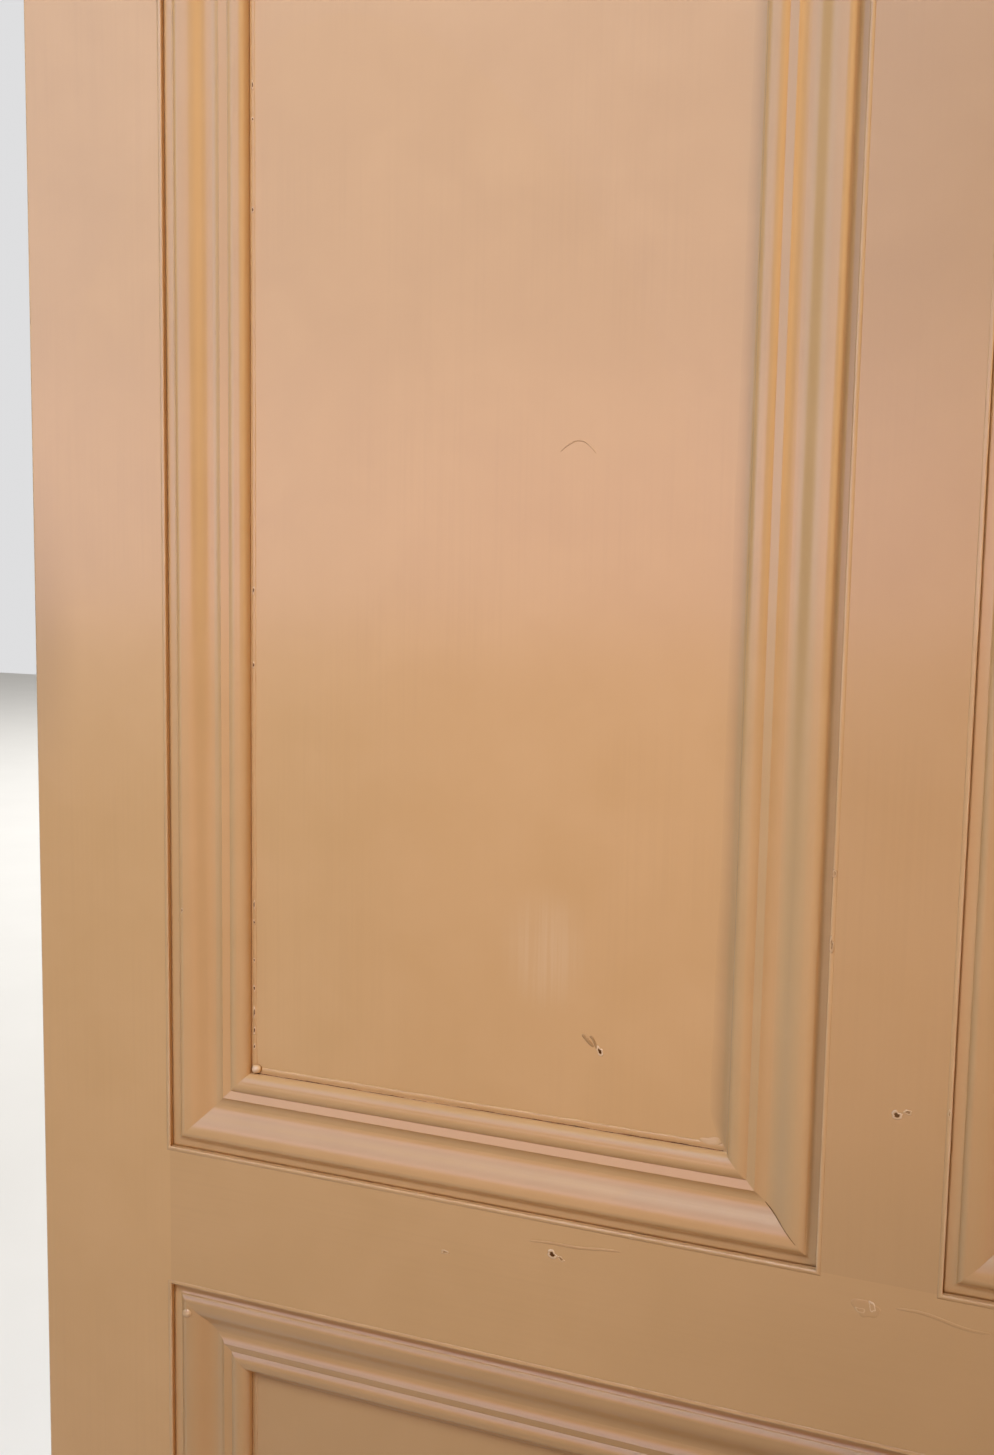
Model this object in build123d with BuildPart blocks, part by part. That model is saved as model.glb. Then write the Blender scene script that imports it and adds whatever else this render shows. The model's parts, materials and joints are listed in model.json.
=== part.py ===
"""Panelled front door, hung on three butt hinges in its own rebated frame.

The leaf stands open at a right angle, with its moulded face towards -Y and its free edge
at the -X end. The frame runs back along +Y from the hinges, with its outer face towards -X.
The origin is the foot of the hinge line, on the underside of the sill. Millimetres, +Z up.
"""

import os
from collections import namedtuple
from math import acos, cos, degrees, sin

from build123d import *

# Leaf
leaf_width = 1016.0
leaf_height = 2134.0
leaf_thickness = 45.0
stile_width = 93.0
muntin_width = 61.0
top_rail_width = 104.0
middle_rail_width = 86.0
bottom_rail_width = 220.0
lower_opening_height = 480.0
wide_opening_height = 274.0
edge_radius = 2.0

# Panels, and the mouldings planted round them
panel_recess = 11.7
panel_thickness = 15.0
groove_depth = 12.0
panel_play = 2.0
moulding_width = 51.0
back_bead = 12.0

# Tenons of the leaf, and their wedges
tenon_shoulder = 2.0
stub_tenon_length = 30.0
wedge_length = 62.0
wedge_butt = 7.0
wedge_tip = 0.8

# Frame
frame_depth = 95.0
frame_stock = 45.0
stop_height = 12.0
rebate_play = 2.0
side_gap = 3.0
head_gap = 3.0
frame_tenon = (25.0, 28.0)
frame_tenon_inset = 4.0
fixing_radius = 5.0
fixing_spacing = 800.0

# Sill
sill_height = 50.0
sill_nosing = 30.0
sill_fall = 10.0
bottom_gap = 5.0
drip_groove = (6.0, 5.0)

# Butt hinges
hinge_height = 100.0
hinge_plate_width = 32.0
hinge_plate_thickness = 2.5
hinge_gap = 2.5
hinge_above_rail = 10.0
knuckle_count = 5
knuckle_radius = 6.0
knuckle_clearance = 0.5
pin_radius = 3.0
running_clearance = 0.06
pin_head_radius = 4.6
pin_head_height = 3.0

# Countersunk screws
screw_radius = 2.0
screw_head_radius = 4.2
screw_length = 30.0
screw_slot = (1.0, 0.9)

# Deadlock, let into the free edge
lock_above_rail = 4.0
bolt_size = (56.0, 12.0, 30.0)
bolt_throw = 16.0
lock_clearance = 0.3
lock_case_size = (64.0, 16.6)
lock_case_wall = 2.0
faceplate_size = (3.0, 22.0, 136.0)
faceplate_screw_inset = 9.0
strike_play = 1.5
strike_pocket_depth = 18.0
backset = 48.0
spindle_rise = 24.0
spindle_radius = 4.0
cam_reach = 13.0
cam_width = 4.0
cam_notch = (12.0, 5.0)

# Door furniture
cylinder_radius = 16.0
plug_radius = 8.5
cylinder_lip = 4.0
keyway = (1.6, 9.0)
rose_radius = 21.0
rose_thickness = 5.0
turn_wing = (11.0, 34.0, 19.0)
knob_radius = 33.0
knob_reach = 66.0
knob_stem_radius = 11.0
knob_rose_radius = 36.0
knob_rose_thickness = 6.0
knob_bolt_radius = 5.0
nut_radius = 14.0
nut_thickness = 9.0

# Places that follow from the sizes. The hinge line is x = 0, y = 0.
face_y = knuckle_radius + knuckle_clearance
back_y = face_y + leaf_thickness
middle_y = (face_y + back_y) / 2
leaf_right = -hinge_gap / 2
leaf_left = leaf_right - leaf_width
leaf_bottom = sill_height + bottom_gap
leaf_top = leaf_bottom + leaf_height
panel_y = (face_y + panel_recess, face_y + panel_recess + panel_thickness)
leaf_y = (face_y, back_y)

Opening = namedtuple("Opening", "name x z")
inner_left = leaf_left + stile_width
inner_right = leaf_right - stile_width
muntin_x = (
    (inner_left + inner_right - muntin_width) / 2,
    (inner_left + inner_right + muntin_width) / 2,
)
lower_z = (leaf_bottom + bottom_rail_width, leaf_bottom + bottom_rail_width + lower_opening_height)
wide_z = (lower_z[1] + middle_rail_width, lower_z[1] + middle_rail_width + wide_opening_height)
upper_z = (wide_z[1] + middle_rail_width, leaf_top - top_rail_width)
openings = [
    Opening("upper_left", (inner_left, muntin_x[0]), upper_z),
    Opening("upper_right", (muntin_x[1], inner_right), upper_z),
    Opening("middle", (inner_left, inner_right), wide_z),
    Opening("lower_left", (inner_left, muntin_x[0]), lower_z),
    Opening("lower_right", (muntin_x[1], inner_right), lower_z),
]
rails = {
    "top_rail": (upper_z[1], leaf_top),
    "upper_middle_rail": (wide_z[1], upper_z[0]),
    "lower_middle_rail": (lower_z[1], wide_z[0]),
    "bottom_rail": (leaf_bottom, lower_z[0]),
}

hinge_levels = {
    "top": upper_z[1] - hinge_above_rail - hinge_height / 2,
    "middle": upper_z[0] + hinge_above_rail + hinge_height / 2,
    "bottom": lower_z[0] + hinge_above_rail + hinge_height / 2,
}
half_gap = hinge_gap / 2
knuckle_pitch = hinge_height / knuckle_count
screw_rows = (0.14, 0.38, 0.62, 0.86)
screw_columns = (0.68, 0.36, 0.36, 0.68)

# The frame stands as the shut leaf meets it: leaf thickness along X, leaf width along Y.
frame_x = (face_y, face_y + frame_depth)
stop_x = face_y + leaf_thickness + rebate_play
hinge_rebate_y = -half_gap
strike_rebate_y = half_gap + leaf_width + side_gap
head_rebate_z = leaf_top + head_gap
sill_stop_z = leaf_bottom + stop_height - bottom_gap
tenon_x = (stop_x + frame_tenon_inset, stop_x + frame_tenon_inset + frame_tenon[0])
fixing_x = (stop_x + frame_x[1]) / 2
fixing_levels = [leaf_bottom + leaf_height / 2 + step * fixing_spacing for step in (-1, 0, 1)]

bolt_z = wide_z[0] + lock_above_rail + faceplate_size[2] / 2
spindle_x = leaf_left + backset
spindle_z = bolt_z + spindle_rise
case_x = (leaf_left + faceplate_size[0], leaf_left + faceplate_size[0] + lock_case_size[0])
case_y = (middle_y - lock_case_size[1] / 2, middle_y + lock_case_size[1] / 2)
case_z = (
    bolt_z - bolt_size[2] / 2 - lock_clearance - lock_case_wall,
    spindle_z + cam_width + spindle_radius + lock_case_wall,
)
knob_x = (inner_left + inner_right) / 2
knob_z = (wide_z[0] + wide_z[1]) / 2


def around(centre, length):
    """Return the span of a length about its centre."""
    return (centre - length / 2, centre + length / 2)


def widened(span, margin):
    """Return a span with the margin added at both ends."""
    return (span[0] - margin, span[1] + margin)


def fill(x, y, z, mode=Mode.ADD):
    """Add or cut the block that fills three spans."""
    with Locations((x[0], y[0], z[0])):
        Box(x[1] - x[0], y[1] - y[0], z[1] - z[0], align=Align.MIN, mode=mode)


def tenon_span(rail_z):
    """Return the height span of the tenons on a rail, clear of the panel grooves."""
    return widened(rail_z, -(groove_depth + tenon_shoulder))


def cut_grooves():
    """Cut the groove of each panel out of the piece being built."""
    for opening in openings:
        pocket_x = widened(opening.x, groove_depth)
        pocket_z = widened(opening.z, groove_depth)
        fill(pocket_x, panel_y, pocket_z, Mode.SUBTRACT)


def wedge_outline(edge_x, inward, tenon_edge, away):
    """Draw one wedge between a tenon and the flared end of its mortice."""
    tip_x = edge_x + inward * wedge_length
    Polyline(
        (edge_x, tenon_edge),
        (edge_x, tenon_edge + away * wedge_butt),
        (tip_x, tenon_edge + away * wedge_tip),
        (tip_x, tenon_edge),
        close=True,
    )


def make_stile(outer_x, inner_x):
    """Make one stile, with its grooves and its flared through mortices."""
    inward = 1 if inner_x > outer_x else -1
    with BuildPart() as stile:
        fill(sorted((outer_x, inner_x)), leaf_y, (leaf_bottom, leaf_top))
        outer_arrises = stile.edges().filter_by(Axis.Z).group_by(Axis.X)[0 if inward > 0 else -1]
        fillet(outer_arrises, radius=edge_radius)
        cut_grooves()
        for rail_z in rails.values():
            tenon_z = tenon_span(rail_z)
            fill(sorted((outer_x, inner_x)), panel_y, tenon_z, Mode.SUBTRACT)
            for tenon_edge, away in ((tenon_z[0], -1), (tenon_z[1], 1)):
                with BuildSketch(Plane.XZ.offset(-panel_y[1])):
                    with BuildLine():
                        wedge_outline(outer_x, inward, tenon_edge, away)
                    make_face()
                extrude(amount=panel_thickness, mode=Mode.SUBTRACT)
    return stile


def make_rail(rail_z, muntin_above, muntin_below):
    """Make one rail, with through tenons and the mortices of the muntins it holds."""
    stub_x = widened(muntin_x, -(groove_depth + tenon_shoulder))
    with BuildPart() as rail:
        fill((inner_left, inner_right), leaf_y, rail_z)
        cut_grooves()
        fill((leaf_left, leaf_right), panel_y, tenon_span(rail_z))
        if muntin_above:
            fill(stub_x, panel_y, (rail_z[1] - stub_tenon_length, rail_z[1]), Mode.SUBTRACT)
        if muntin_below:
            fill(stub_x, panel_y, (rail_z[0], rail_z[0] + stub_tenon_length), Mode.SUBTRACT)
    return rail


def make_muntin(opening_z):
    """Make one muntin, with a stub tenon at each end."""
    stub_x = widened(muntin_x, -(groove_depth + tenon_shoulder))
    with BuildPart() as muntin:
        fill(muntin_x, leaf_y, opening_z)
        cut_grooves()
        fill(stub_x, panel_y, widened(opening_z, stub_tenon_length))
    return muntin


def make_panel(opening, knob_hole):
    """Make a flat panel that reaches into its grooves, with the quarter-round bead behind it."""
    tongue = groove_depth - panel_play
    with BuildPart() as panel:
        fill(widened(opening.x, tongue), panel_y, widened(opening.z, tongue))
        centre = (sum(opening.x) / 2, sum(opening.z) / 2)
        size = (opening.x[1] - opening.x[0], opening.z[1] - opening.z[0])
        with BuildSketch(Plane.XZ.offset(-panel_y[1])):
            with Locations(centre):
                Rectangle(*size)
                Rectangle(size[0] - 2 * back_bead, size[1] - 2 * back_bead, mode=Mode.SUBTRACT)
        extrude(amount=-back_bead)
        bead_face = panel.faces().filter_by(Axis.Y).sort_by(Axis.Y)[-1]
        fillet(bead_face.inner_wires()[0].edges(), radius=back_bead * 0.9)
        if knob_hole:
            with Locations(Plane(origin=(knob_x, panel_y[0], knob_z), z_dir=(0, -1, 0))):
                Hole(knob_bolt_radius, depth=panel_thickness)
    return panel


def at(width_share, recess_share):
    """Return a point of the moulding's section, from shares of its width and its depth."""
    return (width_share * moulding_width, recess_share * panel_recess)


def moulding_outline():
    """Draw the quirk, roll, ogee, lip and inner bead, from the arris to the panel."""
    Polyline(at(0.972, 0.97), at(0.972, 1), at(0, 1), at(0, 0.4), at(0.103, 0.4))
    ThreePointArc(at(0.103, 0.4), at(0.135, 0.155), at(0.2, 0.06))
    TangentArc(at(0.2, 0.06), at(0.4, 0.386), tangent=(1, 0))
    TangentArc(at(0.55, 0.63), at(0.4, 0.386), tangent=(-1, 0))
    TangentArc(at(0.55, 0.63), at(0.663, 0.443), tangent=(1, 0))
    Line(at(0.663, 0.443), at(0.752, 0.548))
    ThreePointArc(at(0.752, 0.548), at(0.79, 0.442), at(0.875, 0.436))
    ThreePointArc(at(0.875, 0.436), at(0.943, 0.57), at(0.972, 0.97))


def make_moulding(start, end):
    """Make one length of the planted moulding, mitred at both ends."""
    run = (end - start).normalized()
    inward = run.cross(Vector(0, -1, 0))
    with BuildPart() as moulding:
        with BuildSketch(Plane(origin=start, x_dir=inward, z_dir=run)):
            with BuildLine():
                moulding_outline()
            make_face()
        extrude(amount=(end - start).length)
        split(bisect_by=Plane(origin=start, z_dir=run - inward), keep=Keep.TOP)
        split(bisect_by=Plane(origin=end, z_dir=-run - inward), keep=Keep.TOP)
    return moulding


def corners_of(opening):
    """Return the four corners of an opening on the leaf's face, clockwise from the foot."""
    low, high = opening.z
    left, right = opening.x
    places = ((left, low), (left, high), (right, high), (right, low))
    return [Vector(x, face_y, z) for x, z in places]


def leaf_plate_plane(level):
    """Return the plane across the hinge line whose x axis runs into the leaf's edge."""
    return Plane(origin=(0, 0, level), x_dir=(0, 1, 0), z_dir=(0, 0, 1))


def frame_plate_plane(level):
    """Return the plane across the hinge line whose x axis runs into the jamb."""
    return Plane(origin=(0, 0, level), x_dir=(1, 0, 0), z_dir=(0, 0, -1))


def screw_places(plate_plane):
    """Return the screw positions on a hinge plate, each with its axis out of the plate."""
    places = []
    for row, column in zip(screw_rows, screw_columns):
        along = face_y + column * hinge_plate_width
        height = (row - 0.5) * hinge_height
        origin = plate_plane.from_local_coords((along, half_gap, height))
        places.append(Plane(origin=origin, z_dir=-plate_plane.y_dir))
    return places


def make_hinge_plate(plate_plane, first_knuckle, bore_radius):
    """Make one plate of a butt hinge with every second knuckle, from the first one given."""
    plate_y = half_gap + hinge_plate_thickness / 2
    with BuildPart() as plate:
        with BuildSketch(plate_plane.offset(-hinge_height / 2)):
            with Locations((knuckle_radius + lock_clearance, plate_y)):
                Rectangle(
                    face_y + hinge_plate_width - knuckle_radius - lock_clearance,
                    hinge_plate_thickness,
                    align=(Align.MIN, Align.CENTER),
                )
        extrude(amount=hinge_height)
        for index in range(first_knuckle, knuckle_count, 2):
            foot = (index - knuckle_count / 2) * knuckle_pitch + lock_clearance / 2
            with BuildSketch(plate_plane.offset(foot)):
                Circle(knuckle_radius)
                with Locations((0, plate_y)):
                    Rectangle(
                        face_y, hinge_plate_thickness, align=(Align.MIN, Align.CENTER)
                    )
            extrude(amount=knuckle_pitch - lock_clearance)
        with Locations(plate_plane):
            Cylinder(bore_radius, 2 * hinge_height, mode=Mode.SUBTRACT)
        with Locations(*screw_places(plate_plane)):
            CounterSinkHole(screw_radius, screw_head_radius, depth=hinge_plate_thickness)
    return plate


def cut_screw_holes(places):
    """Bore the hole of each screw in the piece being built."""
    with Locations(*places):
        Cylinder(
            screw_radius, screw_length, align=(Align.CENTER, Align.CENTER, Align.MAX), mode=Mode.SUBTRACT
        )


def make_screws(places):
    """Make one slotted, countersunk screw at each place."""
    head_depth = screw_head_radius - screw_radius
    with BuildPart() as screw:
        with BuildSketch(Plane.XZ):
            with BuildLine():
                Polyline(
                    (0, 0),
                    (screw_head_radius, 0),
                    (screw_radius, -head_depth),
                    (screw_radius, -0.8 * screw_length),
                    (0, -screw_length),
                    close=True,
                )
            make_face()
        revolve(axis=Axis.Z)
        fill(
            around(0, 2 * screw_head_radius),
            around(0, screw_slot[0]),
            (-screw_slot[1], 0),
            Mode.SUBTRACT,
        )
    with BuildPart() as screws:
        with Locations(*places):
            add(screw.part)
    return screws


def turned_plane(x, y, z):
    """Return the half plane in which a turned piece is drawn, radius along x, depth along y."""
    return Plane(origin=(x, y, z), x_dir=(1, 0, 0), z_dir=(0, 0, 1))


def turning_axis(x, z):
    """Return the axis of a piece that is turned about a line square to the leaf."""
    return Axis((x, 0, z), (0, 1, 0))


leaf_hinge_screw_places = []
frame_hinge_screw_places = []
for level in hinge_levels.values():
    leaf_hinge_screw_places += screw_places(leaf_plate_plane(level))
    frame_hinge_screw_places += screw_places(frame_plate_plane(level))
plate_screw_reach = faceplate_size[2] / 2 - faceplate_screw_inset
plate_screw_levels = [bolt_z - plate_screw_reach, bolt_z + plate_screw_reach]
faceplate_screw_places = [
    Plane(origin=(leaf_left, middle_y, level), z_dir=(-1, 0, 0)) for level in plate_screw_levels
]
strike_screw_places = [
    Plane(origin=(middle_y, strike_rebate_y, level), z_dir=(0, -1, 0))
    for level in plate_screw_levels
]
bolt_hole_y = around(middle_y, bolt_size[1] + 2 * lock_clearance)
bolt_hole_z = around(bolt_z, bolt_size[2] + 2 * lock_clearance)

# Stiles
hinge_stile = make_stile(leaf_right, inner_right)
with hinge_stile:
    for level in hinge_levels.values():
        plate_x = (leaf_right - hinge_plate_thickness, leaf_right)
        fill(plate_x, (face_y, face_y + hinge_plate_width), around(level, hinge_height), Mode.SUBTRACT)
    cut_screw_holes(leaf_hinge_screw_places)

lock_stile = make_stile(leaf_left, inner_left)
with lock_stile:
    fill(case_x, case_y, case_z, Mode.SUBTRACT)
    fill(
        (leaf_left, case_x[0]),
        around(middle_y, faceplate_size[1]),
        around(bolt_z, faceplate_size[2]),
        Mode.SUBTRACT,
    )
    cut_screw_holes(faceplate_screw_places)
    with Locations(Plane(origin=(spindle_x, case_y[1], spindle_z), z_dir=(0, 1, 0))):
        Cylinder(
            spindle_radius + 2 * lock_clearance,
            back_y - case_y[1],
            align=(Align.CENTER, Align.CENTER, Align.MIN),
            mode=Mode.SUBTRACT,
        )
    with Locations(Plane(origin=(spindle_x, case_y[0], spindle_z), z_dir=(0, -1, 0))):
        Cylinder(
            cylinder_radius - cylinder_lip,
            case_y[0] - face_y,
            align=(Align.CENTER, Align.CENTER, Align.MIN),
            mode=Mode.SUBTRACT,
        )

# Rails and muntins
rail_parts = {
    "top_rail": make_rail(rails["top_rail"], muntin_above=False, muntin_below=True),
    "upper_middle_rail": make_rail(rails["upper_middle_rail"], muntin_above=True, muntin_below=False),
    "lower_middle_rail": make_rail(rails["lower_middle_rail"], muntin_above=False, muntin_below=True),
    "bottom_rail": make_rail(rails["bottom_rail"], muntin_above=True, muntin_below=False),
}
upper_muntin = make_muntin(upper_z)
lower_muntin = make_muntin(lower_z)

# Wedges, two to each tenon end
with BuildPart() as tenon_wedges:
    for rail_z in rails.values():
        tenon_z = tenon_span(rail_z)
        for edge_x, inward in ((leaf_left, 1), (leaf_right, -1)):
            for tenon_edge, away in ((tenon_z[0], -1), (tenon_z[1], 1)):
                with BuildSketch(Plane.XZ.offset(-panel_y[1])):
                    with BuildLine():
                        wedge_outline(edge_x, inward, tenon_edge, away)
                    make_face()
                extrude(amount=panel_thickness)

# Panels and their mouldings
panel_parts = {}
moulding_parts = {}
for opening in openings:
    panel_parts[f"{opening.name}_panel"] = make_panel(opening, knob_hole=opening.name == "middle")
    corners = corners_of(opening)
    for index, side in enumerate(("left", "top", "right", "bottom")):
        name = f"{opening.name}_{side}_moulding"
        moulding_parts[name] = make_moulding(corners[index], corners[(index + 1) % len(corners)])

# Hinges
hinge_parts = {}
for place, level in hinge_levels.items():
    loose_bore = pin_radius + running_clearance
    hinge_parts[f"{place}_hinge_leaf_plate"] = make_hinge_plate(leaf_plate_plane(level), 1, loose_bore)
    hinge_parts[f"{place}_hinge_frame_plate"] = make_hinge_plate(frame_plate_plane(level), 0, pin_radius)

with BuildPart() as hinge_pins:
    for level in hinge_levels.values():
        with BuildSketch(Plane(origin=(0, 0, level), x_dir=(1, 0, 0), z_dir=(0, -1, 0))):
            with BuildLine():
                shoulder = hinge_height / 2
                Polyline(
                    (0, -shoulder),
                    (pin_radius, -shoulder),
                    (pin_radius, shoulder),
                    (pin_head_radius, shoulder),
                    (pin_head_radius, shoulder + 0.4 * pin_head_height),
                    (0.6 * pin_head_radius, shoulder + pin_head_height),
                    (0, shoulder + pin_head_height),
                    close=True,
                )
            make_face()
        revolve(axis=Axis.Z)

leaf_screws = make_screws(leaf_hinge_screw_places + faceplate_screw_places)
frame_screws = make_screws(frame_hinge_screw_places + strike_screw_places)

# Frame head and sill, with the mortices of the jambs
jamb_backs = (hinge_rebate_y - frame_stock, strike_rebate_y + frame_stock)
jamb_tenons_y = (
    around(hinge_rebate_y - frame_stock / 2, frame_tenon[1]),
    around(strike_rebate_y + frame_stock / 2, frame_tenon[1]),
)
frame_side = Plane(origin=(0, jamb_backs[0], 0), x_dir=(1, 0, 0), z_dir=(0, -1, 0))
frame_width = jamb_backs[1] - jamb_backs[0]

with BuildPart() as frame_head:
    with BuildSketch(frame_side):
        with BuildLine():
            Polyline(
                (frame_x[0], head_rebate_z),
                (stop_x, head_rebate_z),
                (stop_x, head_rebate_z - stop_height),
                (frame_x[1], head_rebate_z - stop_height),
                (frame_x[1], head_rebate_z + frame_stock),
                (frame_x[0], head_rebate_z + frame_stock),
                close=True,
            )
        make_face()
    extrude(amount=-frame_width)

with BuildPart() as sill:
    with BuildSketch(frame_side):
        with BuildLine():
            Polyline(
                (frame_x[0] - sill_nosing, 0),
                (frame_x[1], 0),
                (frame_x[1], sill_stop_z),
                (stop_x, sill_stop_z),
                (stop_x, sill_height),
                (frame_x[0] - sill_nosing, sill_height - sill_fall),
                close=True,
            )
        make_face()
        with Locations((frame_x[0] - sill_nosing + drip_groove[0], 0)):
            Rectangle(*drip_groove, align=Align.MIN, mode=Mode.SUBTRACT)
    extrude(amount=-frame_width)
    nose_arris = sill.edges().filter_by(Axis.Y).group_by(Axis.X)[0].sort_by(Axis.Z)[-1]
    fillet(nose_arris, radius=sill_fall / 2)


def make_jamb(rebate_y, away):
    """Make one jamb: rebated, scribed to the sill and head, and tenoned through both."""
    with BuildPart() as jamb:
        with BuildSketch():
            with BuildLine():
                Polyline(
                    (frame_x[0], rebate_y),
                    (stop_x, rebate_y),
                    (stop_x, rebate_y - away * stop_height),
                    (frame_x[1], rebate_y - away * stop_height),
                    (frame_x[1], rebate_y + away * frame_stock),
                    (frame_x[0], rebate_y + away * frame_stock),
                    close=True,
                )
            make_face()
        extrude(amount=head_rebate_z)
        add(frame_head.part, mode=Mode.SUBTRACT)
        add(sill.part, mode=Mode.SUBTRACT)
        solid_y = around(rebate_y + away * frame_stock / 2, frame_tenon[1])
        fill(tenon_x, solid_y, (0, head_rebate_z + frame_stock))
        fixing_places = [
            Plane(origin=(fixing_x, rebate_y - away * stop_height, level), z_dir=(0, -away, 0))
            for level in fixing_levels
        ]
        with Locations(*fixing_places):
            Hole(fixing_radius, depth=frame_stock + stop_height)
    return jamb


hinge_jamb = make_jamb(hinge_rebate_y, -1)
with hinge_jamb:
    for level in hinge_levels.values():
        plate_y = (hinge_rebate_y - hinge_plate_thickness, hinge_rebate_y)
        fill((face_y, face_y + hinge_plate_width), plate_y, around(level, hinge_height), Mode.SUBTRACT)
    cut_screw_holes(frame_hinge_screw_places)

strike_hole_x = widened(around(middle_y, bolt_size[1]), strike_play)
strike_hole_z = widened(around(bolt_z, bolt_size[2]), strike_play)
strike_plate_x = around(middle_y, faceplate_size[1] + 2 * strike_play)
strike_plate_y = (strike_rebate_y, strike_rebate_y + faceplate_size[0])
strike_plate_z = around(bolt_z, faceplate_size[2])
strike_jamb = make_jamb(strike_rebate_y, 1)
with strike_jamb:
    fill(strike_plate_x, strike_plate_y, strike_plate_z, Mode.SUBTRACT)
    pocket_y = (strike_rebate_y, strike_rebate_y + strike_pocket_depth)
    fill(strike_hole_x, pocket_y, strike_hole_z, Mode.SUBTRACT)
    cut_screw_holes(strike_screw_places)

for member in (frame_head, sill):
    with member:
        for tenon_y in jamb_tenons_y:
            fill(tenon_x, tenon_y, (0, head_rebate_z + frame_stock), Mode.SUBTRACT)

# Lock
with BuildPart() as lock_case:
    fill(case_x, case_y, case_z)
    fill((case_x[0], case_x[1] - lock_case_wall), bolt_hole_y, bolt_hole_z, Mode.SUBTRACT)
    cam_room = cam_reach + cam_width
    cam_room_z = (bolt_z, case_z[1] - lock_case_wall)
    cam_room_x = (spindle_x - cam_room, case_x[1] - lock_case_wall)
    fill(cam_room_x, bolt_hole_y, cam_room_z, Mode.SUBTRACT)
    with Locations(Plane(origin=(spindle_x, case_y[1], spindle_z), z_dir=(0, 1, 0))):
        Hole(spindle_radius + running_clearance, depth=lock_case_size[1] / 2)

with BuildPart() as lock_faceplate:
    fill((leaf_left, case_x[0]), around(middle_y, faceplate_size[1]), around(bolt_z, faceplate_size[2]))
    fill((leaf_left, case_x[0]), bolt_hole_y, bolt_hole_z, Mode.SUBTRACT)
    with Locations(*faceplate_screw_places):
        CounterSinkHole(screw_radius, screw_head_radius, depth=faceplate_size[0])

with BuildPart() as strike_plate:
    fill(strike_plate_x, strike_plate_y, strike_plate_z)
    fill(strike_hole_x, strike_plate_y, strike_hole_z, Mode.SUBTRACT)
    with Locations(*strike_screw_places):
        CounterSinkHole(screw_radius, screw_head_radius, depth=faceplate_size[0])

bolt_top = bolt_z + bolt_size[2] / 2
with BuildPart() as deadbolt:
    fill(
        (leaf_left, leaf_left + bolt_size[0]),
        around(middle_y, bolt_size[1]),
        (bolt_z - bolt_size[2] / 2, bolt_top),
    )
    notch_x = around(spindle_x + bolt_throw / 2, cam_notch[0])
    fill(notch_x, around(middle_y, bolt_size[1]), (bolt_top - cam_notch[1], bolt_top), Mode.SUBTRACT)

turn_face_y = back_y + rose_thickness + lock_clearance
with BuildPart() as turn_spindle:
    with BuildSketch(Plane(origin=(spindle_x, middle_y - bolt_size[1] / 2, spindle_z), z_dir=(0, 1, 0))):
        Circle(spindle_radius)
    extrude(amount=turn_face_y - middle_y + bolt_size[1] / 2)
    with BuildSketch(Plane.XZ.offset(-(middle_y - bolt_size[1] / 2))):
        with Locations((spindle_x, spindle_z)):
            with Locations(Rotation(0, 0, 45)):
                Rectangle(cam_width, cam_reach, align=(Align.CENTER, Align.MAX))
    extrude(amount=-bolt_size[1])

with BuildPart() as thumb_turn:
    with BuildSketch(turned_plane(spindle_x, turn_face_y, spindle_z)):
        with BuildLine():
            neck, wing_reach = 0.75 * turn_wing[0], turn_wing[2]
            Polyline((0, wing_reach * 0.7), (0, 0), (1.2 * neck, 0))
            ThreePointArc(
                (1.2 * neck, 0), (0.8 * neck, wing_reach * 0.3), (neck, wing_reach * 0.7)
            )
            Line((neck, wing_reach * 0.7), (0, wing_reach * 0.7))
        make_face()
    revolve(axis=turning_axis(spindle_x, spindle_z))
    with BuildSketch(Plane(origin=(spindle_x, turn_face_y + wing_reach * 0.4, spindle_z), z_dir=(0, 1, 0))):
        SlotOverall(turn_wing[1], turn_wing[0] * 0.7, rotation=90)
    extrude(amount=wing_reach * 0.6)
    wing_edges = thumb_turn.faces().sort_by(Axis.Y)[-1].edges()
    fillet(wing_edges, radius=turn_wing[0] * 0.15)

# Roses, cylinder and pull knob
with BuildPart() as turn_rose:
    with BuildSketch(turned_plane(spindle_x, back_y, spindle_z)):
        with BuildLine():
            bore = spindle_radius + 2 * lock_clearance
            Polyline((bore, rose_thickness), (bore, 0), (rose_radius, 0), (rose_radius, 0.3 * rose_thickness))
            TangentArc(
                (rose_radius, 0.3 * rose_thickness),
                (0.8 * rose_radius, rose_thickness),
                tangent=(0, 1),
            )
            Line((0.8 * rose_radius, rose_thickness), (bore, rose_thickness))
        make_face()
    revolve(axis=turning_axis(spindle_x, spindle_z))

with BuildPart() as lock_cylinder:
    with BuildSketch(turned_plane(spindle_x, face_y, spindle_z)):
        with BuildLine():
            barrel = cylinder_radius - cylinder_lip
            rim = 0.8 * cylinder_radius
            Polyline((plug_radius, -cylinder_lip), (plug_radius, case_y[0] - face_y))
            Polyline((plug_radius, case_y[0] - face_y), (barrel, case_y[0] - face_y), (barrel, 0))
            Polyline((barrel, 0), (cylinder_radius, 0), (cylinder_radius, -0.25 * cylinder_lip))
            TangentArc(
                (cylinder_radius, -0.25 * cylinder_lip), (rim, -cylinder_lip), tangent=(0, -1)
            )
            Line((rim, -cylinder_lip), (plug_radius, -cylinder_lip))
        make_face()
    revolve(axis=turning_axis(spindle_x, spindle_z))

with BuildPart() as cylinder_plug:
    with BuildSketch(Plane(origin=(spindle_x, case_y[0], spindle_z), z_dir=(0, -1, 0))):
        Circle(plug_radius)
    extrude(amount=case_y[0] - face_y + cylinder_lip)
    with BuildSketch(Plane(origin=(spindle_x, face_y - cylinder_lip, spindle_z), z_dir=(0, -1, 0))):
        Rectangle(*keyway)
    extrude(amount=-keyway[1], mode=Mode.SUBTRACT)

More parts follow.
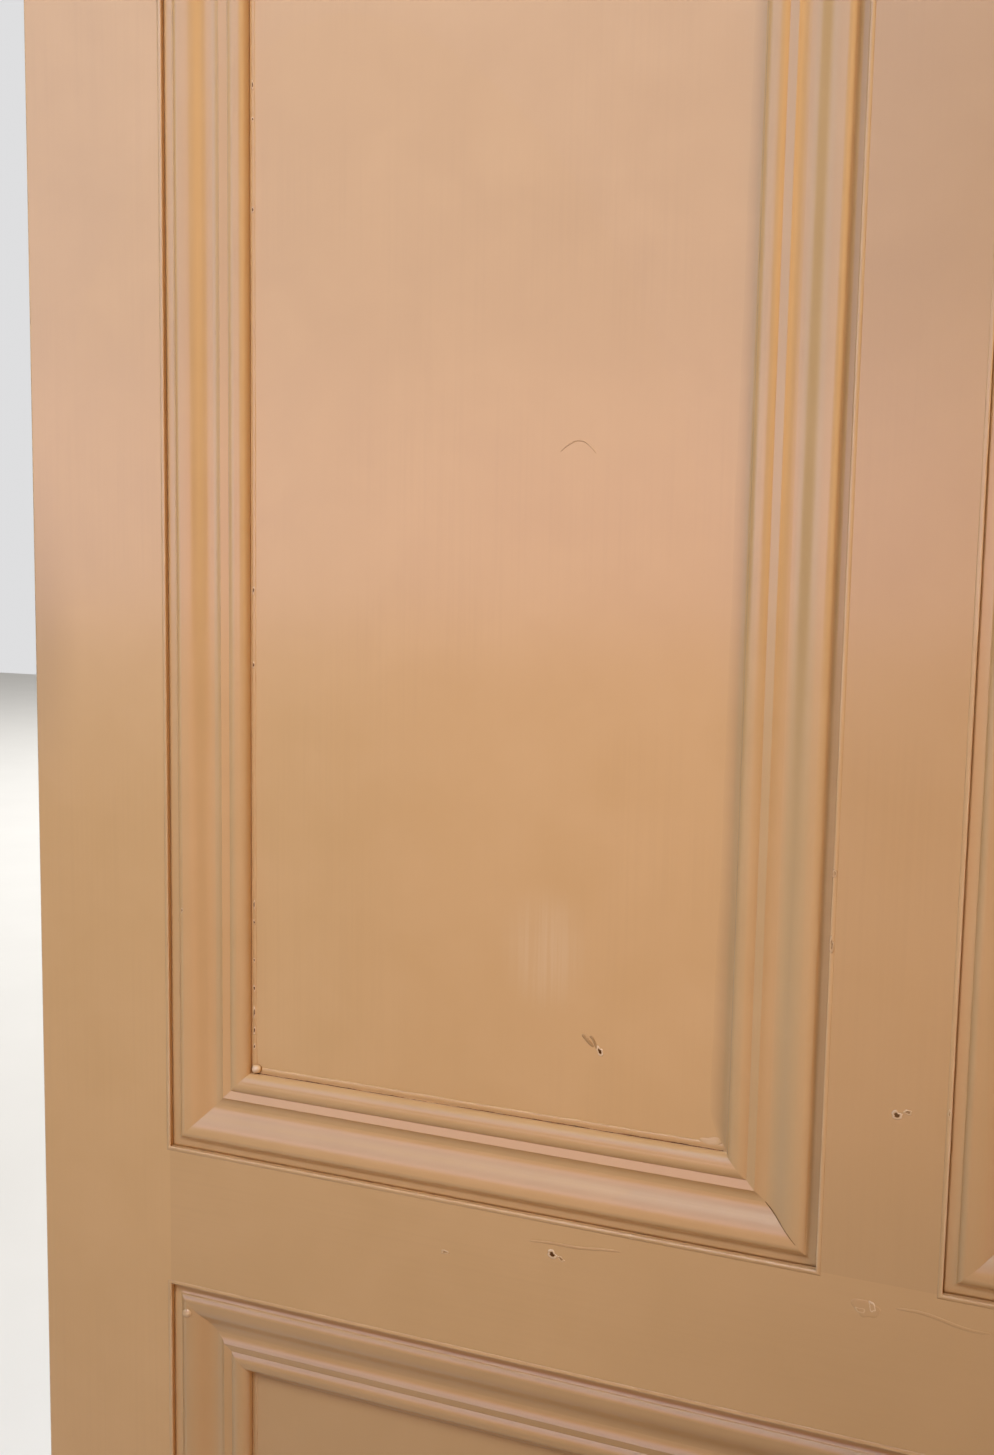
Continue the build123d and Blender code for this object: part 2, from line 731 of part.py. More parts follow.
with BuildPart() as knob_rose:
    with BuildSketch(turned_plane(knob_x, panel_y[0], knob_z)):
        with BuildLine():
            Polyline(
                (knob_bolt_radius, -knob_rose_thickness),
                (knob_bolt_radius, 0),
                (knob_rose_radius, 0),
                (knob_rose_radius, -0.3 * knob_rose_thickness),
            )
            TangentArc(
                (knob_rose_radius, -0.3 * knob_rose_thickness),
                (0.82 * knob_rose_radius, -0.6 * knob_rose_thickness),
                tangent=(0, -1),
            )
            RadiusArc(
                (0.82 * knob_rose_radius, -0.6 * knob_rose_thickness),
                (0.5 * knob_rose_radius, -knob_rose_thickness),
                knob_rose_radius,
            )
            Line((0.5 * knob_rose_radius, -knob_rose_thickness), (knob_bolt_radius, -knob_rose_thickness))
        make_face()
    revolve(axis=turning_axis(knob_x, knob_z))

knob_foot_y = panel_y[0] - knob_rose_thickness
bolt_end = panel_y[1] + nut_thickness - knob_foot_y
shank_radius = knob_bolt_radius - running_clearance
ball_half_depth = 0.3 * knob_reach
neck_angle = acos(1.3 * knob_stem_radius / knob_radius)
neck_y = -knob_reach + ball_half_depth * (1 + sin(neck_angle))
with BuildPart() as pull_knob:
    with BuildSketch(turned_plane(knob_x, knob_foot_y, knob_z)):
        with BuildLine():
            Polyline((0, -knob_reach), (0, bolt_end), (shank_radius, bolt_end), (shank_radius, 0))
            Line((shank_radius, 0), (1.45 * knob_stem_radius, 0))
            ThreePointArc(
                (1.45 * knob_stem_radius, 0),
                (knob_stem_radius, 0.5 * neck_y),
                (knob_radius * cos(neck_angle), neck_y),
            )
            EllipticalCenterArc(
                (0, -knob_reach + ball_half_depth),
                x_radius=knob_radius,
                y_radius=ball_half_depth,
                start_angle=-90,
                arc_size=90 + degrees(neck_angle),
            )
        make_face()
    revolve(axis=turning_axis(knob_x, knob_z))

with BuildPart() as knob_nut:
    with BuildSketch(Plane(origin=(knob_x, panel_y[1], knob_z), z_dir=(0, 1, 0))):
        Circle(nut_radius)
        Circle(knob_bolt_radius, mode=Mode.SUBTRACT)
    extrude(amount=nut_thickness / 3)
    with BuildSketch(Plane(origin=(knob_x, panel_y[1] + nut_thickness / 3, knob_z), z_dir=(0, 1, 0))):
        RegularPolygon(0.75 * nut_radius, 6)
        Circle(knob_bolt_radius, mode=Mode.SUBTRACT)
    extrude(amount=nut_thickness * 2 / 3)

pieces = {
    "hinge_stile": hinge_stile,
    "lock_stile": lock_stile,
    **rail_parts,
    "upper_muntin": upper_muntin,
    "lower_muntin": lower_muntin,
    "tenon_wedges": tenon_wedges,
    **panel_parts,
    **moulding_parts,
    **hinge_parts,
    "hinge_pins": hinge_pins,
    "leaf_screws": leaf_screws,
    "frame_screws": frame_screws,
    "frame_head": frame_head,
    "sill": sill,
    "hinge_jamb": hinge_jamb,
    "strike_jamb": strike_jamb,
    "lock_case": lock_case,
    "lock_faceplate": lock_faceplate,
    "strike_plate": strike_plate,
    "deadbolt": deadbolt,
    "turn_spindle": turn_spindle,
    "thumb_turn": thumb_turn,
    "turn_rose": turn_rose,
    "lock_cylinder": lock_cylinder,
    "cylinder_plug": cylinder_plug,
    "knob_rose": knob_rose,
    "pull_knob": pull_knob,
    "knob_nut": knob_nut,
}

os.makedirs("parts", exist_ok=True)
for name, piece in pieces.items():
    piece.part.label = name
    export_step(piece.part, f"parts/{name}.step")
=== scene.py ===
"""Panelled front door: brushed paint, its blemishes, brass and steel, and a plain studio.

Everything is in metres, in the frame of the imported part. The leaf's moulded face looks
towards -Y, its free edge is at the -X end, and the frame runs back along +Y.
"""

import json
import math

import bpy
import numpy as np
from mathutils import Euler, Matrix, Vector


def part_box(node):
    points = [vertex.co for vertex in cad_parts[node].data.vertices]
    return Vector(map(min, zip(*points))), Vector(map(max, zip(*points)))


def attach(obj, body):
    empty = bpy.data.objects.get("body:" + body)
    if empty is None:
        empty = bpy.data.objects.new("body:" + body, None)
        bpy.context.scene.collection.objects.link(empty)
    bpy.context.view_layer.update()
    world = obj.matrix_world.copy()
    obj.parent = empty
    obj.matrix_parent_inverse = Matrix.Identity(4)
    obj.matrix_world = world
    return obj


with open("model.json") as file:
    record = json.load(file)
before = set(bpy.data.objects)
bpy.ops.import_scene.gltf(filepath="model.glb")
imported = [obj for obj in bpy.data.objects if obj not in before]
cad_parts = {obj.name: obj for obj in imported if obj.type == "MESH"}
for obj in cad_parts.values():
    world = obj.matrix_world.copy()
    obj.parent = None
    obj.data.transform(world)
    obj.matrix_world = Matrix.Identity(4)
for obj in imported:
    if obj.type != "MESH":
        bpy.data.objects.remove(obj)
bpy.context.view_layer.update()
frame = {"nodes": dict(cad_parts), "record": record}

bl_info = {
    "name": "Panelled front door",
    "version": (1, 0, 0),
    "blender": (4, 5, 0),
    "location": "View3D > Sidebar > Door",
    "description": "Paints and furnishes a panelled front door and sets it in a plain studio",
    "category": "Object",
}

cad_nodes = frame["nodes"]
slot_of = {part["node"]: part["material_slot"] for part in frame["record"]["subparts"]}
panel_names = ("upper_left", "upper_right", "middle", "lower_left", "lower_right")

millimetre = 0.001
face_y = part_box("hinge_stile")[0][1]
panel_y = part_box("upper_left_panel")[0][1]
free_edge_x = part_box("lock_stile")[0][0]

# How many points lie along one side of a panel's opening, round a mark and round a strand.
side_points = 480
rim_points = 28
strand_points = 8


def opening_of(name):
    """Return the lowest and highest corner of a panel's opening, as x and z."""
    low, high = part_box(f"{name}_left_moulding")[0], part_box(f"{name}_right_moulding")[1]
    return np.array((low[0], low[2])), np.array((high[0], high[2]))


# Node trees


class Wiring:
    """Lays out one node tree: each call adds a node and returns one of its outputs."""

    def __init__(self, tree):
        self.tree = tree
        tree.nodes.clear()

    def put(self, kind, output, values, **settings):
        """Add a node, set its own settings, and feed each input from a value or an output."""
        node = self.tree.nodes.new(kind)
        for name, value in settings.items():
            setattr(node, name, value)
        for name, value in values.items():
            if isinstance(value, bpy.types.NodeSocket):
                self.tree.links.new(value, node.inputs[name])
            else:
                node.inputs[name].default_value = value
        return node.outputs[output]

    def close(self, kind, shader):
        """End the tree in an output node of that kind."""
        end = self.tree.nodes.new(kind)
        self.tree.links.new(shader, end.inputs["Surface"])

    def place(self):
        """Return the point on the object, in metres."""
        return self.put("ShaderNodeTexCoord", "Object", {})

    def part_of(self, vector, axis):
        """Return a vector's X, Y or Z."""
        return self.put("ShaderNodeSeparateXYZ", axis, {"Vector": vector})

    def mapped(self, vector, location=(0, 0, 0), scale=(1, 1, 1), kind="POINT"):
        """Return the vector scaled and then moved, or the reverse of that with the kind TEXTURE."""
        values = {"Vector": vector, "Location": location, "Scale": scale}
        return self.put("ShaderNodeMapping", "Vector", values, vector_type=kind)

    def distance(self, place, middle, reach):
        """Return how far the place is from a middle, with 1 at the reach along each axis."""
        offset = self.mapped(place, middle, reach, "TEXTURE")
        return self.put("ShaderNodeVectorMath", "Value", {0: offset}, operation="LENGTH")

    def noise(self, vector, scale, detail=3.0, roughness=0.5, distortion=0.0):
        """Return a soft noise from 0 to 1."""
        values = {
            "Vector": vector,
            "Scale": scale,
            "Detail": detail,
            "Roughness": roughness,
            "Distortion": distortion,
        }
        return self.put("ShaderNodeTexNoise", "Fac", values)

    def span(self, value, low, high, to_low=0.0, to_high=1.0):
        """Return the value eased from one span to another and held at its ends."""
        values = {"Value": value, "From Min": low, "From Max": high, "To Min": to_low, "To Max": to_high}
        return self.put("ShaderNodeMapRange", "Result", values, interpolation_type="SMOOTHSTEP")

    def wear_and_painted_light(self):
        """Return the amount on a piece's corners: 1 for dirty wood with no paint, -1 for pale filling, and 0
        for whole paint; painted shade lies between 0 and 1, and painted highlight between 0 and -1.
        """
        return self.put("ShaderNodeAttribute", "Fac", {}, attribute_name="wear_and_painted_light")

    def dust(self):
        """Return 1 on the highest faces that look up, where dust lies, and 0 elsewhere."""
        up = self.part_of(self.put("ShaderNodeTexCoord", "Normal", {}), "Z")
        height = self.part_of(self.place(), "Z")
        level = self.math("GREATER_THAN", up, 0.9)
        return self.math("MULTIPLY", level, self.math("GREATER_THAN", height, dust_height))

    def math(self, operation, first, second):
        """Return the result of one sum on two numbers."""
        return self.put("ShaderNodeMath", 0, {0: first, 1: second}, operation=operation)

    def weighed(self, first, second, share):
        """Return a share of the first number plus the rest of the second."""
        return self.math("ADD", self.math("MULTIPLY", first, share), self.math("MULTIPLY", second, 1 - share))

    def mix(self, amount, first, second):
        """Return a colour between two colours.

        The node has sockets of one name for each kind of data, so the colours' are told by number.
        """
        return self.put("ShaderNodeMix", 2, {0: amount, 6: first, 7: second}, data_type="RGBA")

    def bump(self, height, distance):
        """Return the normal after a relief of that height, with 1 as the distance given."""
        return self.put("ShaderNodeBump", "Normal", {"Height": height, "Distance": distance, "Strength": 1.0})

    def surface(self, values):
        """Close the tree with a surface shader."""
        self.close("ShaderNodeOutputMaterial", self.put("ShaderNodeBsdfPrincipled", "BSDF", values))


def new_material(name):
    """Return a new material and the wiring of its tree."""
    material = bpy.data.materials.new(name)
    material.use_nodes = True
    return material, Wiring(material.node_tree)


def colour(value, share=1.0):
    """Return a colour property as four numbers, made lighter or darker by a share."""
    return tuple(channel * share for channel in value[:3]) + (1.0,)


# Shapes


def torus_grid(points):
    """Join a grid that closes on itself both ways.

    Its rows go round the path and its columns round the section. The point of a row and column is
    number row times columns plus column.
    """
    rows, columns = points.shape[:2]
    row, column = np.meshgrid(np.arange(rows), np.arange(columns), indexing="ij")
    here, there = row * columns, (row + 1) % rows * columns
    beside = (column + 1) % columns
    faces = np.stack([here + column, here + beside, there + beside, there + column], -1)
    return points.reshape(-1, 3), faces.reshape(-1, 4)


def capped_grid(rings):
    """Join rings into a closed skin, with a fan from each end ring to the middle of that ring."""
    rows, columns = rings.shape[:2]
    row, column = np.meshgrid(np.arange(rows - 1), np.arange(columns), indexing="ij")
    here, there = row * columns, (row + 1) * columns
    beside = (column + 1) % columns
    sides = np.stack([here + column, there + column, there + beside, here + beside], -1)
    turn = np.arange(columns)
    last = (rows - 1) * columns
    first_cap = np.stack([np.full(columns, rows * columns), turn, (turn + 1) % columns], -1)
    last_cap = np.stack([np.full(columns, rows * columns + 1), last + (turn + 1) % columns, last + turn], -1)
    points = np.concatenate([rings.reshape(-1, 3), rings[:1].mean(1), rings[-1:].mean(1)])
    return points, sides.reshape(-1, 4), np.concatenate([first_cap, last_cap])


def swell_of(seed, least, most):
    """Return random waves round a panel, scaled to least and most.

    They are the sum of eight sines of rising pace and random start, each divided by the fifth root
    of its pace.
    """
    chance = np.random.default_rng(seed)
    share = np.linspace(0, 1, 4 * side_points, endpoint=False)[:, None]
    pace = np.array([2, 5, 11, 23, 41, 83, 167, 331])
    waves = (np.sin(2 * np.pi * (pace * share + chance.random(8))) / pace**0.2).sum(1)
    return least + (most - least) * (waves - waves.min()) / np.ptp(waves)


def side_share(left, top, right, bottom, reach=81):
    """Return how much each side of a panel gets: four level steps, averaged over the reach.

    The average is weighed by a raised cosine and closes on itself round the panel.
    """
    shares = np.repeat((left, top, right, bottom), side_points)
    ease = np.hanning(reach)
    around = reach // 2
    closed = np.concatenate([shares[-around:], shares, shares[:around]])
    return np.convolve(closed, ease / ease.sum(), "valid")


def carried_round(low, high, front, section, swell):
    """Carry a closed section round a rectangle with mitred corners.

    A section point is an offset out from the rectangle and a depth behind the front, with what the
    swell adds to each. Along a side the offset pushes both corners out on their diagonals, and the
    point stands on the line between them.
    """
    corners = np.array([low, (low[0], high[1]), high, (high[0], low[1])])
    spread = np.array([(-1, -1), (-1, 1), (1, 1), (1, -1)])
    share = np.linspace(0, 1, side_points, endpoint=False)[None, :, None, None]
    swell = swell.reshape(4, -1, 1)
    out = (section[:, 0] + section[:, 2] * swell)[..., None]
    depth = section[:, 1] + section[:, 3] * swell
    here = corners[:, None, None] + spread[:, None, None] * out
    there = np.roll(corners, -1, 0)[:, None, None] + np.roll(spread, -1, 0)[:, None, None] * out
    plan = here * (1 - share) + there * share
    points = np.stack([plan[..., 0], front + depth, plan[..., 1]], -1)
    return torus_grid(points.reshape(-1, len(section), 3))


def patch_on(centre, front, size, rise, lean, section, ragged, seed):
    """Turn a section about a point of the face, with a ragged rim.

    A section point is a share of the radius and a share of the rise. The radius at an angle is the
    size times that share times one plus waves of the angle. The size is half the width and half
    the height, in millimetres as the rise is, and the lean is in degrees.
    """
    chance = np.random.default_rng(seed)
    angle = np.linspace(0, 2 * np.pi, rim_points, endpoint=False)
    pace = np.arange(2, 7)
    waves = 1 + ragged * (np.sin(pace * angle[:, None] + chance.random(5) * 6.3) / pace).sum(1)
    across = section[:, :1] * (size[0] * millimetre) * waves * np.cos(angle)
    along = section[:, :1] * (size[1] * millimetre) * waves * np.sin(angle)
    lean = math.radians(lean)
    x = centre[0] + across * math.cos(lean) - along * math.sin(lean)
    z = centre[1] + across * math.sin(lean) + along * math.cos(lean)
    y = np.broadcast_to(front - section[:, 1:2] * (rise * millimetre), x.shape)
    return capped_grid(np.stack([x, y, z], -1))


def line_on(x, y, z):
    """Return a line of points, with one y for all of them or one for each."""
    return np.stack([x, np.broadcast_to(y, x.shape), z], 1)


def strand_along(line, radius, flatness):
    """Lay a thin strand along a line, of a radius in millimetres, with rings square to the line.

    A ring's radius is multiplied by the fourth root of one minus the square of the share along the
    line, which runs from -1 to 1. Its height off the face is also multiplied by the flatness.
    """
    share = np.linspace(-1, 1, len(line))[:, None, None]
    taper = np.sqrt(np.sqrt(np.clip(1 - share**2, 0.0004, 1)))
    run = np.gradient(line, axis=0)
    run /= np.linalg.norm(run, axis=1)[:, None]
    side = np.cross(run, (0, -1, 0))
    side /= np.linalg.norm(side, axis=1)[:, None]
    lift = np.cross(side, run)
    angle = np.linspace(0, 2 * np.pi, strand_points, endpoint=False)[None, :, None]
    rings = np.cos(angle) * side[:, None] + flatness * np.sin(angle) * lift[:, None]
    return capped_grid(line[:, None] + radius * millimetre * taper * rings)


def join_shapes(shapes, amounts):
    """Return one mesh of several shapes, with an amount of wear on every corner of each."""
    starts = np.cumsum([0] + [len(shape[0]) for shape in shapes])
    points = np.concatenate([shape[0] for shape in shapes])
    faces = [face + start for shape, start in zip(shapes, starts) for face in shape[1:]]
    spread = [np.broadcast_to(amount, len(shape[0])) for shape, amount in zip(shapes, amounts)]
    return points, faces, np.concatenate(spread)


def piece_from(name, points, faces, wear_and_painted_light, material):
    """Put whole arrays of corners and groups of faces into a new mesh object, with an amount on each corner
    for its wearing and its painted light and shade.
    """
    mesh = bpy.data.meshes.new(name)
    mesh.from_pydata(points.tolist(), [], [face for group in faces for face in group.tolist()])
    if wear_and_painted_light is not None:
        mesh.attributes.new("wear_and_painted_light", "FLOAT", "POINT").data.foreach_set("value", wear_and_painted_light.astype(np.float32))
    mesh.materials.append(material)
    mesh.shade_smooth()
    mesh.update()
    piece = bpy.data.objects.new(name, mesh)
    bpy.context.scene.collection.objects.link(piece)
    return piece


def settle(name, points, faces, wear_and_painted_light, material):
    """Add a piece of paint that rides on the leaf, in the given material."""
    piece = piece_from(name, points, faces, wear_and_painted_light, material)
    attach(piece, "leaf")


def settle_ring(name, corners, front, section, swell, wear_and_painted_light, material):
    """Add a piece of paint that is a section carried round a rectangle."""
    points, faces = carried_round(*corners, front, section, swell)
    settle(name, points, [faces], wear_and_painted_light, material)


# Paint and metal

# The groups' tones are painted light and shade. The stiles, wedges and upper left panel are painted lighter,
# the muntin and upper right pieces darker, and the middle and lower pieces darkest, as the light falls off to
# the right and downwards.
lit_stile_tone, frame_tone, shaded_right_tone, shaded_low_tone = 1.07, 1.0, 0.935, 0.88

# The brush ran up and down these, and along the others: its marks are fine across and long with it.
upright_names = ("stile", "wedge", "muntin", "jamb", "left_moulding", "right_moulding", "panel")
upright_brush, level_brush = (420.0, 420.0, 7.0), (7.0, 7.0, 420.0)

# The skin of the leaf's free edge, where the tenons' ends were painted with the stile.
edge_skin = 0.3 * millimetre
dust_height = 2.15

# Darkened places: middle, reach and strength. The wide first one is painted shade that darkens the leaf
# towards the lower right; the second darkens a narrow upright patch on the free edge. Then the middle and
# reach of a pale streaked patch on the upper left panel, a painted highlight.
darkened_places = (
    ((-0.455, 0.0065, 1.105), (0.27, 0.27, 0.27), 0.45),
    ((-1.019, 0.0065, 1.500), (0.040, 0.030, 0.120), 0.5),
)
painted_highlight_place = ((-0.6926, 0.0182, 1.3459), (0.024, 0.01, 0.034))


def tone_of(node):
    """Return how light the paint of a node is, with its group's painted light and shade."""
    if node.startswith(("middle", "lower")):
        return shaded_low_tone
    if "muntin" in node or node.startswith("upper_right"):
        return shaded_right_tone
    return lit_stile_tone if any(word in node for word in ("panel", "stile", "wedge")) else frame_tone


def coat_colour(wiring, settings, place, drift, tone):
    """Return the colour of whole paint, from warm to pale, with the stile's tone on the free edge."""
    coats = [
        wiring.mix(drift, colour(settings.paint_warm, share), colour(settings.paint_pale, share))
        for share in (tone, lit_stile_tone)
    ]
    on_edge = wiring.math("LESS_THAN", wiring.part_of(place, "X"), free_edge_x + edge_skin)
    return wiring.mix(on_edge, *coats)


def used_colour_and_painted_light(wiring, settings, place, streaks, tan, tone):
    """Return the colour after use, with painted light: warm brush streaks in patches, painted shade towards
    the lower right, a darkened patch on the free edge, and a painted highlight on the upper left panel.
    """
    patchy = wiring.span(wiring.noise(place, 9.0, detail=1.0), 0.42, 0.62, 0.02, 0.09)
    streaked = wiring.math("MULTIPLY", wiring.span(streaks, 0.4, 0.7), patchy)
    tan = wiring.mix(streaked, tan, colour(settings.paint_warm, tone * 0.8))
    for middle, reach, strength in darkened_places:
        darkened = wiring.span(wiring.distance(place, middle, reach), 1.0, 0.15, 0.0, strength)
        tan = wiring.mix(darkened, tan, colour(settings.paint_warm, tone * 0.72))
    # A pale streaked patch on the upper left panel: a painted highlight.
    painted_highlight = wiring.span(wiring.distance(place, *painted_highlight_place), 1.2, 0.2)
    painted_highlight_streaks = wiring.math("MULTIPLY", painted_highlight, wiring.span(streaks, 0.35, 0.6, 0.06, 0.2))
    return wiring.mix(painted_highlight_streaks, tan, colour(settings.filler_and_highlight))


def make_paint(name, settings, brush_scale, tone):
    """Make the paint of one brush direction and one tone: glossy where whole, dull where dirty, where shade
    is painted into it, and where dusty.
    """
    material, wiring = new_material(name)
    place = wiring.place()
    streaks = wiring.noise(wiring.mapped(place, scale=brush_scale), 1.0, detail=4.0, roughness=0.6)
    cloudy = wiring.noise(place, 22.0, detail=3.0, distortion=0.3)
    drift = wiring.span(wiring.weighed(wiring.noise(place, 3.0, detail=2.0), cloudy, 0.6), 0.34, 0.66)
    tan = coat_colour(wiring, settings, place, drift, tone)
    tan = used_colour_and_painted_light(wiring, settings, place, streaks, tan, tone)

    wear_and_painted_light = wiring.wear_and_painted_light()
    darkening = wiring.math("MAXIMUM", wear_and_painted_light, 0.0)
    # Below zero the colour goes towards the pale filling colour: drops, smears, chip rims, and the painted
    # highlight along the arrises. Above zero it goes towards the dark colour of unpainted wood: chips, dirt,
    # and the painted shade in the quirks and beside the right beads.
    tan = wiring.mix(wiring.math("MULTIPLY", wear_and_painted_light, -1.0), tan, colour(settings.filler_and_highlight))
    tan = wiring.mix(darkening, tan, colour(settings.bare_and_shade))

    height = wiring.weighed(streaks, wiring.noise(place, 420.0, detail=2.0), 0.7)
    normal = wiring.bump(height, settings.brush_depth)
    least, most = settings.paint_roughness - 0.01, settings.paint_roughness + 0.05
    rough = wiring.math("ADD", wiring.span(cloudy, 0.3, 0.7, least, most), wiring.math("MULTIPLY", darkening, 0.4))
    dust = wiring.dust()
    clean = wiring.math("SUBTRACT", 1.0, dust)
    wiring.surface(
        {
            "Base Color": tan,
            "Normal": normal,
            "Roughness": wiring.math("MAXIMUM", rough, wiring.math("MULTIPLY", dust, 0.9)),
            "Specular IOR Level": wiring.math("MULTIPLY", wiring.span(darkening, 0.0, 0.5, 0.5, 0.05), clean),
            "Coat Weight": wiring.math("MULTIPLY", wiring.span(darkening, 0.3, 0.8, 0.85, 0.0), clean),
            "Coat Roughness": 0.17,
            "Coat Normal": normal,
        }
    )
    return material


def make_gap(name, settings):
    """Make the dirt in the open joints: dull and dark, browner in places."""
    material, wiring = new_material(name)
    drift = wiring.noise(wiring.place(), 160.0, detail=3.0)
    tone = wiring.mix(wiring.span(drift, 0.35, 0.65), colour(settings.bare_and_shade), colour(settings.bare_and_shade, 2.4))
    wiring.surface({"Base Color": tone, "Roughness": 0.8})
    return material


def make_metal(name, base, rough, grain_scale, tarnish):
    """Make a handled metal: fine grain, a drifting tarnish and dulled patches."""
    material, wiring = new_material(name)
    place = wiring.place()
    grain = wiring.noise(wiring.mapped(place, scale=grain_scale), 1.0, detail=3.0, roughness=0.6)
    patches = wiring.noise(place, 60.0, detail=4.0, roughness=0.6)
    dulled = wiring.span(patches, 0.35, 0.7, rough, rough + 0.22 * tarnish)
    wiring.surface(
        {
            "Base Color": wiring.mix(
                wiring.span(patches, 0.4, 0.65), colour(base), colour(base, 1 - 0.3 * tarnish)
            ),
            "Roughness": wiring.math("ADD", dulled, wiring.span(grain, 0.3, 0.7, 0, 0.06)),
            "Metallic": 1.0,
            "Normal": wiring.bump(grain, 0.08 * millimetre),
        }
    )
    return material


def dress(node, material):
    """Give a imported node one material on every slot."""
    data = cad_nodes[node].data
    data.materials.clear()
    data.materials.append(material)


def paint_on(node):
    """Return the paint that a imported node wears."""
    return cad_nodes[node].data.materials[0]


# Settings


def colour_setting(name, description, default):
    """Return a property that holds a colour."""
    return bpy.props.FloatVectorProperty(
        name=name, description=description, subtype="COLOR", size=3, min=0.0, max=1.0, default=default
    )


def paint_height(name, description, default):
    """Return a property that holds how far paint stands up, 2 mm at most."""
    return bpy.props.FloatProperty(
        name=name, description=description, unit="LENGTH", min=0.0, max=2 * millimetre, default=default
    )


class PaintSettings(bpy.types.PropertyGroup):
    """Colours and relief of the paint."""

    paint_warm: colour_setting("Warm tan", "Deeper colour of the paint", (0.548, 0.312, 0.127))
    paint_pale: colour_setting("Pale tan", "Lighter colour of the paint", (0.582, 0.335, 0.143))
    # The pale filling colour also paints the highlights on the arrises and the upper left panel, and the
    # colour of unpainted wood also paints the shade in the quirks and beside the right beads.
    filler_and_highlight: colour_setting("Filler", "Colour of filler and of fresh drops of paint", (0.78, 0.58, 0.40))
    bare_and_shade: colour_setting("Bare wood", "Colour of dirty wood in chips and open joints", (0.09, 0.032, 0.008))
    paint_roughness: bpy.props.FloatProperty(
        name="Roughness", description="Dullness of the paint", subtype="FACTOR",
        min=0.05, max=1.0, default=0.3,
    )
    edge_height: paint_height("Edge height", "How far the paint stands proud along an arris", 0.0003)
    brush_depth: paint_height("Brush depth", "Depth of the brush marks", 0.00004)


class MetalSettings(bpy.types.PropertyGroup):
    """Colours of the metal parts."""

    brass: colour_setting("Brass", "Colour of the knob, cylinder and plates", (0.55, 0.36, 0.13))
    steel: colour_setting("Steel", "Colour of the hinges and screws", (0.48, 0.42, 0.33))


class StageSettings(bpy.types.PropertyGroup):
    """Floor, light and camera."""

    floor_colour: colour_setting("Floor", "Colour of the floor", (0.80, 0.79, 0.77))
    card_power: bpy.props.FloatProperty(
        name="Card power", description="Power that the large cards' shares are taken of", unit="POWER",
        min=0.0, default=40.0,
    )
    key_power: bpy.props.FloatProperty(
        name="Key power", description="Power of the soft light from above", unit="POWER",
        min=0.0, default=6.8,
    )
    fill_strength: bpy.props.FloatProperty(
        name="Fill", description="Strength of the light from all round", min=0.0, default=0.185,
    )
    wall_strength: bpy.props.FloatProperty(
        name="Wall", description="Strength of the pale wall behind the door", min=0.0, default=0.8,
    )
    focal_length: bpy.props.FloatProperty(
        name="Focal length", description="Focal length of the camera in millimetres", unit="CAMERA",
        min=10.0, default=36.9,
    )


# Steps


class DOOR_OT_paint(bpy.types.Operator):
    """Paint the timber of the leaf and the frame"""

    bl_idname = "door.paint"
    bl_label = "Paint the timber"

    def execute(self, context):
        """Make a paint for each brush direction and tone, and put it on the timber."""
        settings = context.scene.door_paint
        paints = {}
        for node, slot in slot_of.items():
            if slot != "painted_timber":
                continue
            upright = any(word in node for word in upright_names)
            tone = tone_of(node)
            if (upright, tone) not in paints:
                name = f"paint_{'up' if upright else 'across'}_{round(tone * 100)}"
                brush = upright_brush if upright else level_brush
                paints[upright, tone] = make_paint(name, settings, brush, tone)
            dress(node, paints[upright, tone])
        return {"FINISHED"}


# Sections that are carried round a panel, in millimetres. A row is one point: its offset out and its depth
# behind the front, and what the swell adds to each. After a section comes how worn its points are and their
# painted light, if it has any.

# Over the arris of an opening. Here the swell adds shares of the edge's height. The crest of the edge is made
# pale, partly as worn paint and partly as a painted highlight.
edge_section = np.array(
    (
        (2.4, 0.05, 0, 0), (1.5, -0.02, 0, -0.35), (0.8, -0.04, 0, -0.8), (0.25, -0.05, -0.1, -1.0),
        (-0.05, 0.1, -0.6, -0.8), (-0.04, 0.5, -1.0, 0), (-0.03, 1.1, -0.6, 0), (0.05, 1.9, 0, 0),
        (0.7, 1.2, 0, 0), (1.2, 0.6, 0, 0),
    )
)
edge_wear_and_highlight = (0, 0, 0.2, 1, 1, 0.3, 0, 0, 0, 0)

# In the quirk beside the arris. The quirk is darkened on its right and bottom runs, as painted shade.
quirk_section = np.array(
    (
        (0.4, 4.60, 0, -1.8), (-1.5, 4.60, 0, -1.8), (-3.5, 4.58, 0, -1.8), (-4.9, 4.45, 0, -1.7),
        (-5.7, 3.2, 0, -0.6), (-6.4, 2.35, 0, 0), (-6.2, 4.9, 0, 0),
    )
) * millimetre
quirk_painted_shade_profile = (0.3, 0.7, 1, 1.3, 0.6, 0, 0)

# The dark line where a moulding has come away from its panel.
gap_section = np.array(
    ((0.6, -0.05, 0, 0), (0.1, -0.07, 0, 0), (0, -0.05, -0.75, 0), (0, 0.3, -0.75, 0), (0.6, 0.3, 0, 0))
) * millimetre

# The ridge of paint that the brush left beside that line.
ridge_section = np.array(
    (
        (-0.4, 0.1, -0.5, 0), (-0.7, -0.02, -0.5, -0.08), (-1.3, -0.05, -0.7, -0.22),
        (-2.2, -0.03, -1.0, -0.14), (-3.4, 0.05, -1.4, 0), (-2.0, 0.4, 0, 0),
    )
) * millimetre
ridge_wear = np.array((1.0, 1.0, 0.8, 0.4, 0.0, 0.0)) * 0.22
# How much the fillet is darkened, from the bead out across the panel: a painted shadow of the bead.
fillet_painted_shadow = np.array((0.2, 0.55, 0.95, 1.0, 0.85, 0.7, 0.5, 0.32, 0.15, 0.05, 0.0, 0.2)) * 0.28
fillet_width = 13.0


